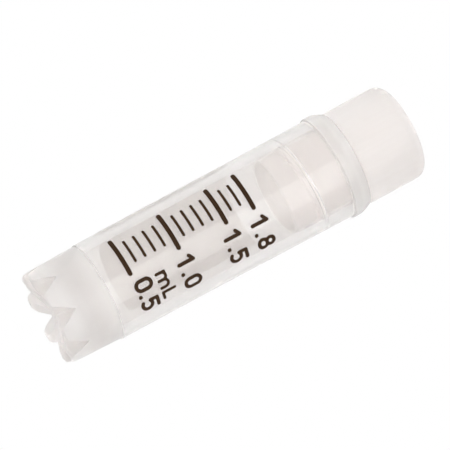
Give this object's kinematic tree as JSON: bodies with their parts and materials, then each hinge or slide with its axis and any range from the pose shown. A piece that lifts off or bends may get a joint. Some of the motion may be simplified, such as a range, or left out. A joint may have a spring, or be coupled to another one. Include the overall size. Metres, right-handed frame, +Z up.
{
  "type": "cryovial",
  "caption": "Small translucent self-standing storage tube with a star-shaped foot, printed graduations and a screw cap that seals on a soft ring.",
  "frame": {"origin": "on the axis, level with the tips of the foot's legs", "axes": "+Z up along the axis, from the foot to the cap; +X through the middle of a notch in the foot"},
  "size_m": [0.013, 0.013, 0.0484],
  "materials": {
    "clear_plastic": "smooth moulded, translucent",
    "milky_plastic": "satin moulded, milky",
    "silicone": "satin, translucent",
    "black_ink": "screen-printed ink, warm black",
    "white_ink": "screen-printed ink, matte white"
  },
  "bodies": {
    "tube": {"tube": "clear_plastic"},
    "sealing_ring": {"sealing_ring": "silicone"},
    "screw_cap": {"screw_cap": "milky_plastic"}
  },
  "joints": [
    {"name": "cap_lift", "type": "slide", "parent": "tube", "child": "sealing_ring", "axis": [0, 0, 1], "range_m": [0, 0.012]},
    {"name": "cap_turn", "type": "hinge", "parent": "sealing_ring", "child": "screw_cap", "pos_m": [0, 0, 0.0403], "axis": [0, 0, 1], "range_deg": [0, 2160]}
  ],
  "couplings": [
    {"joint": "cap_turn", "follows": "cap_lift", "rad_per_m": 3141.6}
  ]
}
